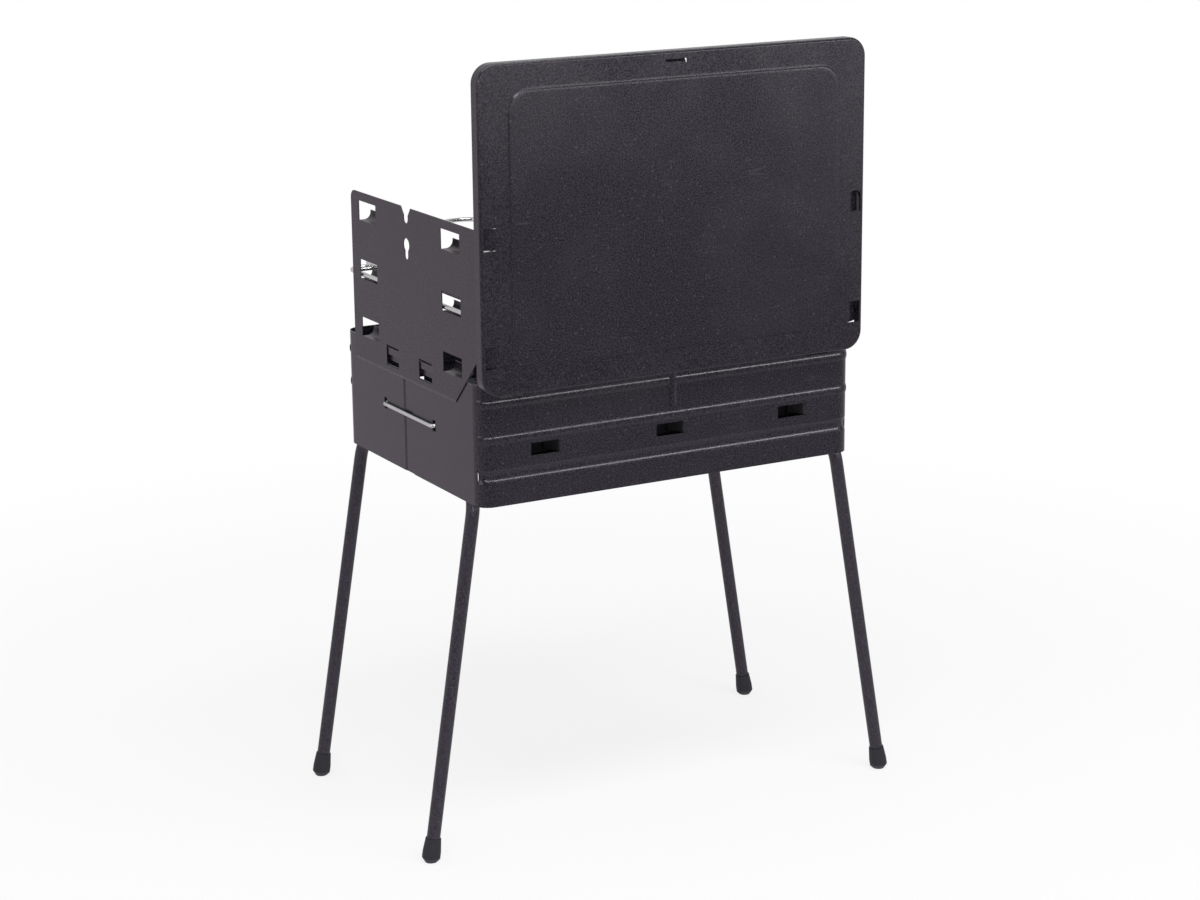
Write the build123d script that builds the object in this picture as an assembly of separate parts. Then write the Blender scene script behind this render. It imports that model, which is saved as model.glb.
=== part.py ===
from build123d import *
from math import atan2, cos, degrees, hypot, radians, sin, tan
import os

# Portable charcoal grill: a folding sheet-steel box on two U-shaped leg frames, with a
# lid that stands up at the back as a wind shield and two lift-off end panels that carry
# the cooking rack in lanced J hooks.
# Millimetres. +X is the user's right, +Y the back (lid side), +Z up, the floor at z = 0.
# The pieces are drawn about the middle of the box and moved at the end so that the
# origin lies under the middle of the whole object.

# Box: two half shells that lap on the end walls.
BOX_HALF_LENGTH = 200.0
BOX_HALF_WIDTH = 145.5
BOX_BOTTOM = 340.0
BOX_HEIGHT = 113.5
BOX_CORNER = 14.0
SHEET = 0.8
CUT_DEPTH = 3.0
RIB_DROPS = (18.0, 51.0)
RIB_HALF = 4.2
RIB_RISE = 0.9
GROOVE_LIFT = 28.0
GROOVE_HALF = 6.5
GROOVE_DEPTH = 1.6
BEAD_TURN = 68.0
CENTRE_BEAD_DROP = 10.5
CENTRE_BEAD_LENGTH = 32.0
CENTRE_BEAD_HALF = 4.6
CENTRE_BEAD_RISE = 1.5
LAP_EDGE = 6.0
LAP_STEP = 14.0
LAP_STEP_RUN = 3.0
LAP_UNDER = 18.0

# Air slots, each with a flap turned inward.
LOUVRE_CENTRES = (-133.5, 0.0, 131.5)
LOUVRE_LENGTH = 34.0
LOUVRE_LIFT = 43.0
LOUVRE_HEIGHT = 12.0
FLAP_LENGTH = 19.0
FLAP_TURN = 62.0
FLAP_BEND = 3.0

# Hinge between lid and rear wall: a tongue curled round the edge of the wall's slot.
HINGE_INSET = 36.0
HINGE_DROP = 6.2
TONGUE_WIDTH = 16.8
SLOT_PLAY = 0.5
SLOT_SLIDE = 6.8
CURL_INNER = 1.9
CURL_END = 112.0
HINGE_EDGE = 1.5
HINGE_SLOT_HEIGHT = 5.0

# Lid, standing open, with its raised field, side catches and front latch.
LID_OVERHANG = 2.4
LID_STANDOFF = 13.1
LID_SPARE = 5.4
LID_DEPTH = 12.0
LID_CORNER = 18.0
LID_EDGE_ROUND = 2.4
FIELD_MARGIN = 29.4
FIELD_LOW_MARGIN = 24.4
FIELD_HIGH_MARGIN = 24.0
FIELD_CORNER = 20.0
FIELD_RISE = 1.2
FIELD_SLOPE = 45.0
CATCH_LIFTS = (26.9, 132.9)
CATCH_HEIGHT = 19.5
CATCH_MARGIN = 3.8
CATCH_LENGTH = 11.6
CATCH_DEPTH = 6.0
LATCH_LEFT = -8.0
LATCH_RIGHT = 13.0
LATCH_DROP = 12.5
LATCH_HEIGHT = 5.0
LATCH_DEPTH = 3.2
CUT_PLAY = 0.4

# End panels, with their J hooks, seat tongues, notch and keyhole.
PANEL_GAP = 0.3
PANEL_OVERLAP = 23.5
PANEL_HEIGHT = 165.0
PANEL_FRONT_MARGIN = 26.0
PANEL_REAR_REACH = 9.0
PANEL_CORNER = 8.0
CHAMFER = 55.5
HOOK_LIFTS = (1.0, 57.5, 114.3)
HOOK_FRONT_MARGIN = 17.5
HOOK_REAR_MARGIN = 40.0
HOOK_WIDTH = 38.5
HOOK_HOLE_HEIGHT = 18.8
HOOK_REACH = 12.0
HOOK_ROUND = 7.2
HOOK_TIP = 8.6
HOOK_SIDE_PLAY = 0.6
SEAT_HOLES = ((-47.0, -20.5), (24.0, 51.5))
SEAT_HOLE_LIFT = 6.5
SEAT_HOLE_HEIGHT = 20.0
SEAT_TONGUE_LIFT = 11.0
SEAT_CLEAR = 0.3
SEAT_KNEE = 0.7
WALL_SLOT_NEAR = 19.5
WALL_SLOT_FAR = 56.0
WALL_SLOT_DROP = 6.5
WALL_SLOT_HEIGHT = 10.0
NOTCH_Y = 3.4
NOTCH_WIDTH = 9.0
NOTCH_DEPTH = 15.0
NOTCH_MOUTH = 22.0
KEYHOLE_HEAD = 12.5
KEYHOLE_SLOT = 7.0
KEYHOLE_DROP = 29.0
KEYHOLE_HEIGHT = 20.0

# Cooking rack, all of round wire.
RACK_WIRE = 4.6
RACK_END_MARGIN = 2.6
RACK_SIDE_MARGIN = 7.0
RACK_CORNER = 12.0
RACK_SEAT_PLAY = 0.15
CROSS_WIRE = 3.6
CROSS_MARGIN = 13.5
BAR_WIRE = 3.0
BAR_MARGIN = 20.4
BAR_COUNT = 30
EDGE_BAR_WIRE = 4.0
HANDLE_WIRE = 4.6
HANDLE_REACH = 164.5
HANDLE_LAP = 20.5
HANDLE_ROUND = 22.0

# Sliding carrying bails.
BAIL_WIRE = 3.8
BAIL_LIFT = 57.2
BAIL_SIDE_A = -55.0
BAIL_SIDE_B = 51.0
BAIL_DEPTH = 33.0
BAIL_HOOK = 8.0
BAIL_BEND = 4.5
BAIL_HOLE_LENGTH = 11.0
BAIL_HOLE_HEIGHT = 8.0

# Base plate and charcoal grate.
PLATE_SINK = 0.4
PLATE_PLAY = 0.3
PLATE_RIM = 9.0
PLATE_RIM_BEND = 2.5
GRATE_HEIGHT = 17.5
GRATE_END_MARGIN = 38.0
GRATE_SIDE_MARGIN = 20.5
GRATE_BEND = 3.0
GRATE_CLEAR = 0.2
GRATE_SLOT_LENGTH = 34.0
GRATE_SLOT_WIDTH = 6.0
GRATE_ROWS = 6
GRATE_ROW_MARGIN = 24.2
GRATE_COLUMNS = 13
GRATE_COLUMN_MARGIN = 18.0

# Folding leg frames and their rubber feet.
TUBE = 12.7
TUBE_WALL = 1.0
LEG_INSET = 11.5
LEG_DROP = 10.1
LEG_SPLAY = 59.7
LEG_SIDE_MARGIN = 22.7
LEG_SPREAD = 4.7
LEG_BEND = 40.0
LEG_SHIFT = 7.0
FOOT_TOP_DIAMETER = 14.6
FOOT_DIAMETER = 17.3
FOOT_LENGTH = 23.0
FOOT_BEVEL = 5.0
FOOT_TIP_DIAMETER = 9.0
FOOT_SOLE = 5.0
FOOT_SUNK = 2.4

# Clips that hold the cross tubes under the base plate, and their rivets.
CLIP_SHEET = 1.2
CLIP_WIDTH = 18.0
CLIP_PLAY = 0.3
CLIP_WING = 20.0
CLIP_Y = 60.0
CLIP_BEND_SPARE = 0.01
RIVET_SHANK = 3.2
RIVET_HEAD = 6.0
RIVET_HEAD_HEIGHT = 1.5
RIVET_CHAMFER = 0.9
RIVET_PITCH = 9.0

# Places that follow from the sizes above.
BOX_TOP = BOX_BOTTOM + BOX_HEIGHT
WALL_MIDDLE = BOX_HALF_WIDTH - SHEET / 2
GROOVE_Z = BOX_BOTTOM + GROOVE_LIFT
CENTRE_BEAD_BOTTOM = BOX_TOP - CENTRE_BEAD_DROP - CENTRE_BEAD_LENGTH
LOUVRE_BOTTOM = BOX_BOTTOM + LOUVRE_LIFT
HINGE_X = BOX_HALF_LENGTH - HINGE_INSET
HINGE_Z = BOX_TOP - HINGE_DROP
LID_HALF_LENGTH = BOX_HALF_LENGTH + LID_OVERHANG
LID_BACK = BOX_HALF_WIDTH + LID_STANDOFF
LID_FRONT = LID_BACK - LID_DEPTH
LID_BOTTOM = HINGE_Z - CURL_INNER - SHEET
LID_TOP = LID_BOTTOM + 2 * BOX_HALF_WIDTH + LID_SPARE
FIELD_HALF_LENGTH = LID_HALF_LENGTH - FIELD_MARGIN
FIELD_BOTTOM = LID_BOTTOM + FIELD_LOW_MARGIN
FIELD_TOP = LID_TOP - FIELD_HIGH_MARGIN
CATCH_EDGE = LID_HALF_LENGTH - CATCH_MARGIN
CATCH_ROOT = CATCH_EDGE - CATCH_LENGTH
LATCH_BOTTOM = LID_TOP - LATCH_DROP
PANEL_INNER = BOX_HALF_LENGTH + PANEL_GAP
PANEL_MIDDLE = PANEL_INNER + SHEET / 2
PANEL_BOTTOM = BOX_TOP - PANEL_OVERLAP
PANEL_TOP = PANEL_BOTTOM + PANEL_HEIGHT
PANEL_FRONT = PANEL_FRONT_MARGIN - BOX_HALF_WIDTH
PANEL_REAR = BOX_HALF_WIDTH + PANEL_REAR_REACH
HOOK_FRONT = PANEL_FRONT + HOOK_FRONT_MARGIN
HOOK_REAR = PANEL_REAR - HOOK_REAR_MARGIN
HOOK_COLUMNS = ((HOOK_FRONT, HOOK_FRONT + HOOK_WIDTH), (HOOK_REAR - HOOK_WIDTH, HOOK_REAR))
SEAT_HOLE_BOTTOM = PANEL_BOTTOM + SEAT_HOLE_LIFT
SEAT_TONGUE_BOTTOM = PANEL_BOTTOM + SEAT_TONGUE_LIFT
WALL_SLOT_TOP = BOX_TOP - WALL_SLOT_DROP
KEYHOLE_TOP = PANEL_TOP - KEYHOLE_DROP
KEYHOLE_BOTTOM = KEYHOLE_TOP - KEYHOLE_HEIGHT
RACK_HALF_LENGTH = BOX_HALF_LENGTH - RACK_END_MARGIN
RACK_HALF_WIDTH = BOX_HALF_WIDTH - RACK_SIDE_MARGIN
RACK_Z = BOX_TOP + HOOK_LIFTS[1] + SHEET / 2 + RACK_WIRE / 2 + RACK_SEAT_PLAY
BAR_Z = RACK_Z + (RACK_WIRE + BAR_WIRE) / 2
CROSS_Z = BAR_Z - (BAR_WIRE + CROSS_WIRE) / 2
CROSS_Y = RACK_HALF_WIDTH - CROSS_MARGIN
BAR_SPAN = RACK_HALF_LENGTH - BAR_MARGIN
BAR_PITCH = 2 * BAR_SPAN / (BAR_COUNT - 1)
HANDLE_Z = RACK_Z + (RACK_WIRE + HANDLE_WIRE) / 2
HANDLE_HALF = 2 * BAR_PITCH
HANDLE_FRONT = -RACK_HALF_WIDTH - HANDLE_REACH
HANDLE_BACK = HANDLE_LAP - RACK_HALF_WIDTH
BAIL_HEIGHT = BOX_BOTTOM + BAIL_LIFT
BAIL_INNER = BOX_HALF_LENGTH - BAIL_DEPTH
PLATE_BOTTOM = GROOVE_Z + GROOVE_HALF - PLATE_SINK
PLATE_TOP = PLATE_BOTTOM + SHEET
GRATE_TOP = PLATE_TOP + GRATE_HEIGHT
GRATE_HALF_LENGTH = BOX_HALF_LENGTH - GRATE_END_MARGIN
GRATE_HALF_WIDTH = BOX_HALF_WIDTH - GRATE_SIDE_MARGIN
GRATE_ROW_PITCH = 2 * (GRATE_HALF_WIDTH - GRATE_ROW_MARGIN) / (GRATE_ROWS - 1)
GRATE_COLUMN_PITCH = 2 * (GRATE_HALF_LENGTH - GRATE_COLUMN_MARGIN) / (GRATE_COLUMNS - 1)
LEG_AXIS_X = BOX_HALF_LENGTH - LEG_INSET
LEG_AXIS_Z = PLATE_BOTTOM - LEG_DROP
LEG_FOOT_X = LEG_AXIS_X + LEG_SPLAY
LEG_TOP_HALF = BOX_HALF_WIDTH - LEG_SIDE_MARGIN
LEG_FOOT_HALF = LEG_TOP_HALF + LEG_SPREAD
LEG_LEAN = degrees(atan2(LEG_SPLAY, LEG_AXIS_Z))
LEG_RUN = hypot(LEG_SPLAY, LEG_AXIS_Z)
ORIGIN_Y = (LID_BACK + FIELD_RISE + HANDLE_FRONT - HANDLE_WIRE / 2) / 2


def block(x0, x1, y0, y1, z0, z1):
    """A box between two corners."""
    size = Box(abs(x1 - x0), abs(y1 - y0), abs(z1 - z0))
    return Pos((x0 + x1) / 2, (y0 + y1) / 2, (z0 + z1) / 2) * size


def wire(points, radius, diameter):
    """Round wire along a path of straight runs with rounded corners."""
    path = FilletPolyline(*points, radius=radius)
    start = Plane(origin=path @ 0, z_dir=path % 0)
    return sweep(start * Circle(diameter / 2), path=path)


def straight(start, end, diameter):
    """Round wire from one point to another."""
    path = Line(start, end)
    return sweep(Plane(origin=path @ 0, z_dir=path % 0) * Circle(diameter / 2), path=path)


def mirrored(piece):
    """The same piece on the other end of the object."""
    return piece.mirror(Plane.YZ)


def wall_face(marks):
    """Upright section of a wall: x is outward from the outer face, y is height.
    Each mark is a pressed bead: its height, half width and rise (negative is inward)."""
    edges = []
    for face in (0.0, -SHEET):
        height = BOX_BOTTOM
        for middle, half, rise in sorted(marks):
            low, top = (face, middle - half), (face, middle + half)
            edges.append(Line((face, height), low))
            edges.append(ThreePointArc(low, (face + rise, middle), top))
            height = middle + half
        edges.append(Line((face, height), (face, BOX_TOP)))
    edges.append(Line((0, BOX_TOP), (-SHEET, BOX_TOP)))
    edges.append(Line((0, BOX_BOTTOM), (-SHEET, BOX_BOTTOM)))
    return make_face(edges)


def corner(face, side, start, turn):
    """Part of a rounded upright corner at the end x = side * length, from the long wall."""
    x = side * (BOX_HALF_LENGTH - BOX_CORNER)
    y = BOX_HALF_WIDTH - BOX_CORNER
    section = Plane(origin=(x, BOX_HALF_WIDTH, 0), x_dir=(0, 1, 0), z_dir=(1, 0, 0)) * face
    axis = Axis((x, y, 0), (0, 0, -side))
    section = section.rotate(axis, start)
    return revolve(section, axis=axis, revolution_arc=turn)


def half_shell():
    """The rear half of the box: a long wall, two corners and half of each end wall."""
    beads = [(BOX_TOP - drop, RIB_HALF, RIB_RISE) for drop in RIB_DROPS]
    beads.append((GROOVE_Z, GROOVE_HALF, -GROOVE_DEPTH))
    beaded = wall_face(beads)
    plain = wall_face([])
    run = BOX_HALF_LENGTH - BOX_CORNER
    start = Plane(origin=(-run, BOX_HALF_WIDTH, 0), x_dir=(0, 1, 0), z_dir=(1, 0, 0))
    shell = extrude(start * beaded, amount=2 * run)
    for side in (1, -1):
        shell += corner(beaded, side, 0, BEAD_TURN)
        shell += corner(plain, side, BEAD_TURN, 90 - BEAD_TURN)
    outer = BOX_HALF_LENGTH
    height = BOX_TOP - BOX_BOTTOM
    shell += block(outer - SHEET, outer, LAP_EDGE, BOX_HALF_WIDTH - BOX_CORNER, BOX_BOTTOM, BOX_TOP)
    joggle = Polyline(
        (-outer + SHEET / 2, BOX_HALF_WIDTH - BOX_CORNER),
        (-outer + SHEET / 2, LAP_STEP),
        (-outer + SHEET * 3 / 2, LAP_STEP - LAP_STEP_RUN),
        (-outer + SHEET * 3 / 2, -LAP_UNDER),
    )
    shell += extrude(Pos(0, 0, BOX_BOTTOM) * trace(joggle, line_width=SHEET), amount=height)

    # upright bead in the middle of the long wall
    for face, sign in ((0.0, 1), (-SHEET, -1)):
        y = BOX_HALF_WIDTH + face
        arc = ThreePointArc((-CENTRE_BEAD_HALF, y), (0, y + CENTRE_BEAD_RISE), (CENTRE_BEAD_HALF, y))
        lens = make_face([arc, Line((CENTRE_BEAD_HALF, y), (-CENTRE_BEAD_HALF, y))])
        bump = extrude(Pos(0, 0, CENTRE_BEAD_BOTTOM) * lens, amount=CENTRE_BEAD_LENGTH)
        shell = shell + bump if sign > 0 else shell - bump

    # air slots, each with its flap bent in at the end away from the user's right
    for x in LOUVRE_CENTRES:
        left = x - LOUVRE_LENGTH / 2
        top = LOUVRE_BOTTOM + LOUVRE_HEIGHT
        near, far = WALL_MIDDLE - CUT_DEPTH, WALL_MIDDLE + CUT_DEPTH
        shell -= block(left, left + LOUVRE_LENGTH, near, far, LOUVRE_BOTTOM, top)
        reach = FLAP_LENGTH * cos(radians(FLAP_TURN))
        depth = FLAP_LENGTH * sin(radians(FLAP_TURN))
        bend = FilletPolyline(
            (left - SHEET, WALL_MIDDLE),
            (left + FLAP_BEND, WALL_MIDDLE),
            (left + FLAP_BEND + reach, WALL_MIDDLE - depth),
            radius=FLAP_BEND,
        )
        flap = Pos(0, 0, LOUVRE_BOTTOM + CUT_PLAY) * trace(bend, line_width=SHEET)
        shell += extrude(flap, amount=LOUVRE_HEIGHT - 2 * CUT_PLAY)

    # slots for the seat tongues of the end panels, and holes for the bails
    for side in (1, -1):
        near, far = side * (outer - CUT_DEPTH), side * (outer + CUT_DEPTH)
        low = WALL_SLOT_TOP - WALL_SLOT_HEIGHT
        shell -= block(near, far, WALL_SLOT_NEAR, WALL_SLOT_FAR, low, WALL_SLOT_TOP)
        hole = extrude(SlotOverall(BAIL_HOLE_LENGTH, BAIL_HOLE_HEIGHT), amount=CUT_DEPTH, both=True)
        y = BAIL_SIDE_B if side > 0 else -BAIL_SIDE_A
        shell -= Pos(side * outer, y, BAIL_HEIGHT) * Rot(90, 0, 90) * hole
    return shell


def hinge_slots():
    """Openings in the rear wall that the lid's tongues hook through."""
    slots = []
    top = HINGE_Z - HINGE_EDGE
    for x in (HINGE_X, -HINGE_X):
        left = x - TONGUE_WIDTH / 2 - SLOT_PLAY
        right = x + TONGUE_WIDTH / 2 + SLOT_PLAY + SLOT_SLIDE
        near, far = WALL_MIDDLE - CUT_DEPTH, WALL_MIDDLE + CUT_DEPTH
        slots.append(block(left, right, near, far, top - HINGE_SLOT_HEIGHT, top))
    return slots


def base_plate():
    """Fixed floor of the fire box, with a low rim, resting on the walls' inward groove."""
    half_l = BOX_HALF_LENGTH - 2 * SHEET - PLATE_PLAY
    half_w = BOX_HALF_WIDTH - SHEET - PLATE_PLAY
    radius = BOX_CORNER - SHEET - PLATE_PLAY
    outline = RectangleRounded(2 * half_l, 2 * half_w, radius)
    outer = extrude(Pos(0, 0, PLATE_BOTTOM) * outline, amount=PLATE_RIM)
    outer = fillet(outer.faces().sort_by(Axis.Z)[0].edges(), PLATE_RIM_BEND)
    outline = RectangleRounded(2 * (half_l - SHEET), 2 * (half_w - SHEET), radius - SHEET)
    well = extrude(Pos(0, 0, PLATE_TOP) * outline, amount=PLATE_RIM)
    well = fillet(well.faces().sort_by(Axis.Z)[0].edges(), PLATE_RIM_BEND - SHEET)
    return outer - well


def charcoal_grate():
    """Slotted bridge that holds the coals above the base plate."""
    foot = PLATE_TOP + GRATE_CLEAR
    section = FilletPolyline(
        (-GRATE_HALF_WIDTH + SHEET / 2, foot),
        (-GRATE_HALF_WIDTH + SHEET / 2, GRATE_TOP - SHEET / 2),
        (GRATE_HALF_WIDTH - SHEET / 2, GRATE_TOP - SHEET / 2),
        (GRATE_HALF_WIDTH - SHEET / 2, foot),
        radius=GRATE_BEND,
    )
    start = Plane(origin=(-GRATE_HALF_LENGTH, 0, 0), x_dir=(0, 1, 0), z_dir=(1, 0, 0))
    grate = extrude(start * trace(section, line_width=SHEET), amount=2 * GRATE_HALF_LENGTH)
    places = GridLocations(GRATE_COLUMN_PITCH, GRATE_ROW_PITCH, GRATE_COLUMNS, GRATE_ROWS)
    slots = places * SlotOverall(GRATE_SLOT_LENGTH, GRATE_SLOT_WIDTH, rotation=90)
    low = GRATE_TOP - 2 * SHEET
    return grate - extrude(Pos(0, 0, low) * Sketch(children=list(slots)), amount=3 * SHEET)


def lid():
    """Shallow pressed pan with a raised field, lanced side catches and hinge tongues."""
    middle = (LID_TOP + LID_BOTTOM) / 2
    height = LID_TOP - LID_BOTTOM
    back = Plane(origin=(0, LID_BACK, middle), x_dir=(1, 0, 0), z_dir=(0, -1, 0))
    pan = extrude(back * RectangleRounded(2 * LID_HALF_LENGTH, height, LID_CORNER), amount=LID_DEPTH)
    pan = fillet(pan.faces().sort_by(Axis.Y)[-1].edges(), LID_EDGE_ROUND)
    inside = back.offset(SHEET)
    outline = RectangleRounded(2 * (LID_HALF_LENGTH - SHEET), height - 2 * SHEET, LID_CORNER - SHEET)
    hollow = extrude(inside * outline, amount=LID_DEPTH)
    hollow = fillet(hollow.faces().sort_by(Axis.Y)[-1].edges(), LID_EDGE_ROUND - SHEET)
    pan -= hollow

    # raised field with sloping edges, the sheet keeping its thickness
    field_middle = (FIELD_TOP + FIELD_BOTTOM) / 2
    field_height = FIELD_TOP - FIELD_BOTTOM
    inset = SHEET * tan(radians(FIELD_SLOPE / 2))
    for depth, shrink, sign in ((0.0, 0.0, 1), (SHEET, inset, -1)):
        plane = Plane(origin=(0, LID_BACK - depth, field_middle), x_dir=(1, 0, 0), z_dir=(0, 1, 0))
        length = 2 * (FIELD_HALF_LENGTH - shrink)
        outline = RectangleRounded(length, field_height - 2 * shrink, FIELD_CORNER - shrink)
        step = extrude(plane * outline, amount=FIELD_RISE, taper=FIELD_SLOPE)
        pan = pan + step if sign > 0 else pan - step

    # side catches: tabs cut on three sides and pushed in, their free edges outward
    plate = LID_BACK - SHEET / 2
    for side in (1, -1):
        for lift in CATCH_LIFTS:
            bottom = LID_BOTTOM + lift
            pan -= block(
                side * (CATCH_ROOT - CUT_PLAY), side * (CATCH_EDGE + CUT_PLAY),
                plate - SHEET, plate + SHEET, bottom - CUT_PLAY, bottom + CATCH_HEIGHT + CUT_PLAY,
            )
            tab = Polyline(
                (side * (CATCH_ROOT - 2 * CUT_PLAY), plate),
                (side * CATCH_ROOT, plate),
                (side * (CATCH_EDGE - CUT_PLAY), plate - CATCH_DEPTH),
            )
            pan += extrude(Pos(0, 0, bottom) * trace(tab, line_width=SHEET), amount=CATCH_HEIGHT)

    # small catch near the free edge, which snaps inside the front wall when closed
    pan -= block(
        LATCH_LEFT - CUT_PLAY, LATCH_RIGHT + CUT_PLAY, plate - SHEET, plate + SHEET,
        LATCH_BOTTOM, LATCH_BOTTOM + LATCH_HEIGHT,
    )
    latch = Polyline(
        (plate, LATCH_BOTTOM - CUT_PLAY),
        (plate, LATCH_BOTTOM + CUT_PLAY),
        (plate - LATCH_DEPTH, LATCH_BOTTOM + LATCH_HEIGHT - CUT_PLAY),
    )
    start = Plane(origin=(LATCH_LEFT, 0, 0), x_dir=(0, 1, 0), z_dir=(1, 0, 0))
    pan += extrude(start * trace(latch, line_width=SHEET), amount=LATCH_RIGHT - LATCH_LEFT)

    # hinge tongues: the bottom flange runs on through the wall slot and curls up inside
    curl = CURL_INNER + SHEET / 2
    bottom = HINGE_Z - curl
    arc = CenterArc((WALL_MIDDLE, HINGE_Z), curl, -90, CURL_END - 270)
    path = Line((LID_FRONT + SHEET, bottom), (WALL_MIDDLE, bottom)) + arc
    for x in (HINGE_X, -HINGE_X):
        start = Plane(origin=(x - TONGUE_WIDTH / 2, 0, 0), x_dir=(0, 1, 0), z_dir=(1, 0, 0))
        pan += extrude(start * trace(path, line_width=SHEET), amount=TONGUE_WIDTH)
    return pan


def end_panel():
    """Right end panel: a flat plate with six J hooks, two seat tongues and a skewer rest."""
    outline = Polyline(
        (PANEL_FRONT, PANEL_BOTTOM),
        (PANEL_REAR - CHAMFER, PANEL_BOTTOM),
        (PANEL_REAR, PANEL_BOTTOM + CHAMFER),
        (PANEL_REAR, PANEL_TOP),
        (PANEL_FRONT, PANEL_TOP),
        close=True,
    )
    face = make_face(outline)
    face = fillet(face.vertices().sort_by(Axis.Y)[-2:], PANEL_CORNER)
    at = Plane(origin=(PANEL_INNER, 0, 0), x_dir=(0, 1, 0), z_dir=(1, 0, 0))
    panel = extrude(at * face, amount=SHEET)
    through = (PANEL_INNER - SHEET, PANEL_INNER + 2 * SHEET)

    # J hooks, cut on three sides, turned in at the bottom edge and curled up
    for front, rear in HOOK_COLUMNS:
        for lift in HOOK_LIFTS:
            bottom = BOX_TOP + lift
            panel -= block(*through, front, rear, bottom, bottom + HOOK_HOLE_HEIGHT)
            end = PANEL_MIDDLE - HOOK_REACH
            floor = FilletPolyline(
                (PANEL_MIDDLE + SHEET / 2, bottom - SHEET / 2),
                (end, bottom - SHEET / 2),
                (end, bottom + HOOK_TIP),
                radius=HOOK_ROUND,
            )
            start = Plane(origin=(0, rear - HOOK_SIDE_PLAY, 0), x_dir=(1, 0, 0), z_dir=(0, -1, 0))
            width = rear - front - 2 * HOOK_SIDE_PLAY
            panel += extrude(start * trace(floor, line_width=SHEET), amount=width)

    # seat tongues that hang the panel over the top edge of the end wall
    inside = BOX_HALF_LENGTH - 2 * SHEET - SEAT_CLEAR - SHEET / 2
    top = SEAT_HOLE_BOTTOM + SEAT_HOLE_HEIGHT
    for front, rear in SEAT_HOLES:
        panel -= block(*through, front, rear, SEAT_HOLE_BOTTOM, top)
        profile = Polyline(
            (PANEL_MIDDLE, top + SHEET),
            (PANEL_MIDDLE, top),
            (inside, BOX_TOP - SEAT_KNEE),
            (inside, SEAT_TONGUE_BOTTOM),
        )
        start = Plane(origin=(0, rear - HOOK_SIDE_PLAY, 0), x_dir=(1, 0, 0), z_dir=(0, -1, 0))
        width = rear - front - 2 * HOOK_SIDE_PLAY
        panel += extrude(start * trace(profile, line_width=SHEET), amount=width)

    # V-mouthed skewer notch in the top edge and a keyhole below it
    half, mouth = NOTCH_WIDTH / 2, NOTCH_MOUTH / 2
    notch = Polyline(
        (NOTCH_Y - mouth, PANEL_TOP + SHEET),
        (NOTCH_Y - half, PANEL_TOP - NOTCH_DEPTH / 2),
        (NOTCH_Y - half, PANEL_TOP - NOTCH_DEPTH + half),
        (NOTCH_Y + half, PANEL_TOP - NOTCH_DEPTH + half),
        (NOTCH_Y + half, PANEL_TOP - NOTCH_DEPTH / 2),
        (NOTCH_Y + mouth, PANEL_TOP + SHEET),
        close=True,
    )
    cut = make_face(notch) + Pos(NOTCH_Y, PANEL_TOP - NOTCH_DEPTH + half) * Circle(half)
    head = KEYHOLE_TOP - KEYHOLE_HEAD / 2
    end = KEYHOLE_BOTTOM + KEYHOLE_SLOT / 2
    cut += Pos(NOTCH_Y, head) * Circle(KEYHOLE_HEAD / 2)
    cut += Pos(NOTCH_Y, end) * Circle(KEYHOLE_SLOT / 2)
    cut += Pos(NOTCH_Y, (head + end) / 2) * Rectangle(KEYHOLE_SLOT, head - end)
    return panel - extrude(at.offset(-SHEET) * cut, amount=3 * SHEET)


def rack():
    """Wire cooking rack: rim and cross wires, bars, and the long front handle."""
    loop = RectangleRounded(2 * RACK_HALF_LENGTH, 2 * RACK_HALF_WIDTH, RACK_CORNER)
    rim_wire = (Pos(0, 0, RACK_Z) * loop).faces()[0].outer_wire()
    start = Plane(origin=rim_wire @ 0, z_dir=rim_wire % 0)
    frame = sweep(start * Circle(RACK_WIRE / 2), path=rim_wire)
    reach = RACK_HALF_LENGTH - RACK_WIRE / 4
    for y in (-CROSS_Y, 0, CROSS_Y):
        frame += straight((-reach, y, CROSS_Z), (reach, y, CROSS_Z), CROSS_WIRE)
    bars = []
    for i in range(BAR_COUNT):
        x = -BAR_SPAN + i * BAR_PITCH
        edge = i in (0, BAR_COUNT - 1)
        size = EDGE_BAR_WIRE if edge else BAR_WIRE
        z = BAR_Z + (size - BAR_WIRE) / 2
        bars.append(straight((x, -RACK_HALF_WIDTH, z), (x, RACK_HALF_WIDTH, z), size))
    handle = wire(
        [
            (-HANDLE_HALF, HANDLE_BACK, HANDLE_Z),
            (-HANDLE_HALF, HANDLE_FRONT, HANDLE_Z),
            (HANDLE_HALF, HANDLE_FRONT, HANDLE_Z),
            (HANDLE_HALF, HANDLE_BACK, HANDLE_Z),
        ],
        HANDLE_ROUND,
        HANDLE_WIRE,
    )
    return frame, bars, handle


def bail():
    """Right carrying bail: a wire that slides out of two holes in the end wall."""
    out = BOX_HALF_LENGTH + SHEET / 2 + BAIL_WIRE / 2
    return wire(
        [
            (BAIL_INNER, BAIL_SIDE_A - BAIL_HOOK, BAIL_HEIGHT),
            (BAIL_INNER, BAIL_SIDE_A, BAIL_HEIGHT),
            (out, BAIL_SIDE_A, BAIL_HEIGHT),
            (out, BAIL_SIDE_B, BAIL_HEIGHT),
            (BAIL_INNER, BAIL_SIDE_B, BAIL_HEIGHT),
            (BAIL_INNER, BAIL_SIDE_B + BAIL_HOOK, BAIL_HEIGHT),
        ],
        BAIL_BEND,
        BAIL_WIRE,
    )


def leg_point(run, across):
    """A point of the right leg frame: run down from its axis, across along Y."""
    lean = radians(LEG_LEAN)
    return (LEG_AXIS_X + run * sin(lean), across - LEG_SHIFT, LEG_AXIS_Z - run * cos(lean))


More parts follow.
